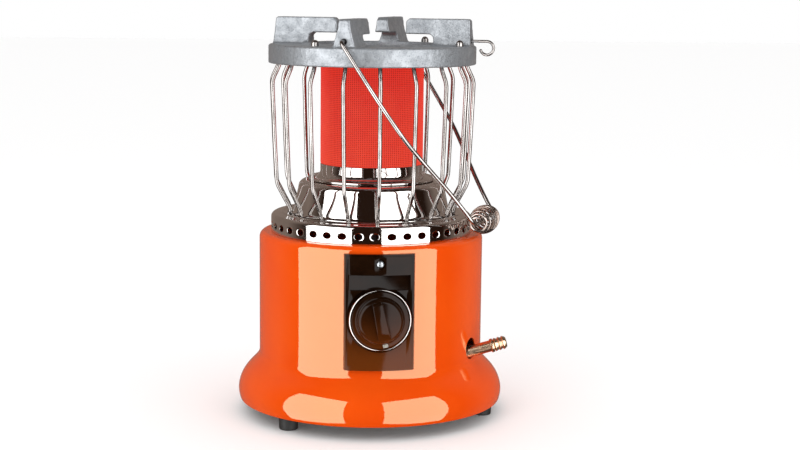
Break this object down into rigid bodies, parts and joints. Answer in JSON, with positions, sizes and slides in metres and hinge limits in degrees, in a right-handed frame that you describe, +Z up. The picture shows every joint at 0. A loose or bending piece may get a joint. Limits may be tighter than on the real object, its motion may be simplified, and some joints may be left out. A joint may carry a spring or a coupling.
{
  "type": "portable gas heater",
  "caption": "Portable radiant gas heater with pan support: wire guard, glowing mesh emitter, orange casing, control knob, hose nozzle, swinging bail handle with a coil grip",
  "frame": {"origin": "on the heater's axis, at the level of the floor under its feet", "axes": "+Z up along the heater's axis; the control panel faces -Y; the hose nozzle is on the +X side"},
  "size_m": [0.264, 0.2645, 0.3915],
  "materials": {
    "orange_enamel": "gloss orange stove enamel on pressed steel",
    "black_plastic": "moulded gloss black phenolic plastic",
    "chrome_plate": "mirror chrome plate on pressed steel",
    "bright_wire": "bright nickel-plated drawn steel wire",
    "spring_wire": "plated spring wire, lightly dulled",
    "cast_aluminium": "as-cast aluminium, tumbled, mottled grey",
    "glowing_mesh": "woven heat-proof wire mesh, glowing orange red",
    "zinc_steel": "bright zinc-plated steel",
    "heat_steel": "heat-tinted stainless steel",
    "brass": "turned and drawn brass",
    "yellow_zinc": "yellow-passivated zinc plate on turned steel",
    "black_rubber": "moulded black rubber",
    "white_ceramic": "glazed white porcelain"
  },
  "bodies": {
    "root": {"outer_casing": "orange_enamel", "control_panel": "black_plastic", "panel_screw": "chrome_plate", "vent_ring": "chrome_plate", "reflector_drum": "chrome_plate", "emitter_collar": "chrome_plate", "guard_wire_01": "bright_wire", "guard_wire_02": "bright_wire", "guard_wire_03": "bright_wire", "guard_wire_04": "bright_wire", "guard_wire_05": "bright_wire", "guard_wire_06": "bright_wire", "guard_wire_07": "bright_wire", "guard_wire_08": "bright_wire", "guard_wire_09": "bright_wire", "guard_wire_10": "bright_wire", "guard_wire_11": "bright_wire", "guard_wire_12": "bright_wire", "guard_wire_13": "bright_wire", "guard_wire_14": "bright_wire", "guard_wire_15": "bright_wire", "guard_wire_16": "bright_wire", "guard_wire_17": "bright_wire", "guard_wire_18": "bright_wire", "guard_nut_1": "bright_wire", "guard_nut_2": "bright_wire", "guard_nut_3": "bright_wire", "guard_nut_4": "bright_wire", "return_spring": "spring_wire", "pan_support": "cast_aluminium", "emitter_mesh": "glowing_mesh", "base_pan": "zinc_steel", "left_foot_screw": "zinc_steel", "right_foot_screw": "zinc_steel", "rear_foot_screw": "zinc_steel", "valve_bracket": "zinc_steel", "inlet_pipe": "zinc_steel", "feed_pipe": "zinc_steel", "injector_block": "zinc_steel", "mixing_tube": "zinc_steel", "burner_cup": "heat_steel", "flame_plate": "heat_steel", "emitter_cap": "heat_steel", "tie_rod": "heat_steel", "cap_nut": "heat_steel", "gas_valve": "brass", "injector": "brass", "hose_nozzle": "yellow_zinc", "left_foot": "black_rubber", "right_foot": "black_rubber", "rear_foot": "black_rubber", "ignition_lead": "black_rubber", "spark_electrode": "white_ceramic"},
    "push_washer": {"stem_washer": "zinc_steel"},
    "knob": {"control_knob": "black_plastic", "knob_trim_ring": "chrome_plate", "valve_stem": "brass"},
    "bail": {"bail_handle": "bright_wire"},
    "grip": {"grip_coil": "spring_wire"},
    "hook": {"side_hook": "bright_wire"}
  },
  "joints": [
    {"name": "knob_push", "type": "slide", "parent": "root", "child": "push_washer", "axis": [0, 1, 0], "range_m": [0, 0.004], "stiffness_N_per_m": 700, "springref_m": -0.004, "deforming": ["return_spring"]},
    {"name": "knob_turn", "type": "hinge", "parent": "push_washer", "child": "knob", "pos_m": [0, -0.12, 0.1137], "axis": [0, -1, 0], "range_deg": [0, 150]},
    {"name": "bail_swing", "type": "hinge", "parent": "root", "child": "bail", "pos_m": [0, 0, 0.3705], "axis": [-0.342, -0.9397, 0], "range_deg": [0, 292]},
    {"name": "grip_spin", "type": "hinge", "parent": "bail", "child": "grip", "pos_m": [0.10816, -0.03937, 0.19725], "axis": [-0.342, -0.9397, 0], "continuous": true},
    {"name": "hook_swivel", "type": "hinge", "parent": "root", "child": "hook", "pos_m": [0.09397, -0.0342, 0.3705], "axis": [0.9397, -0.342, 0], "continuous": true}
  ]
}
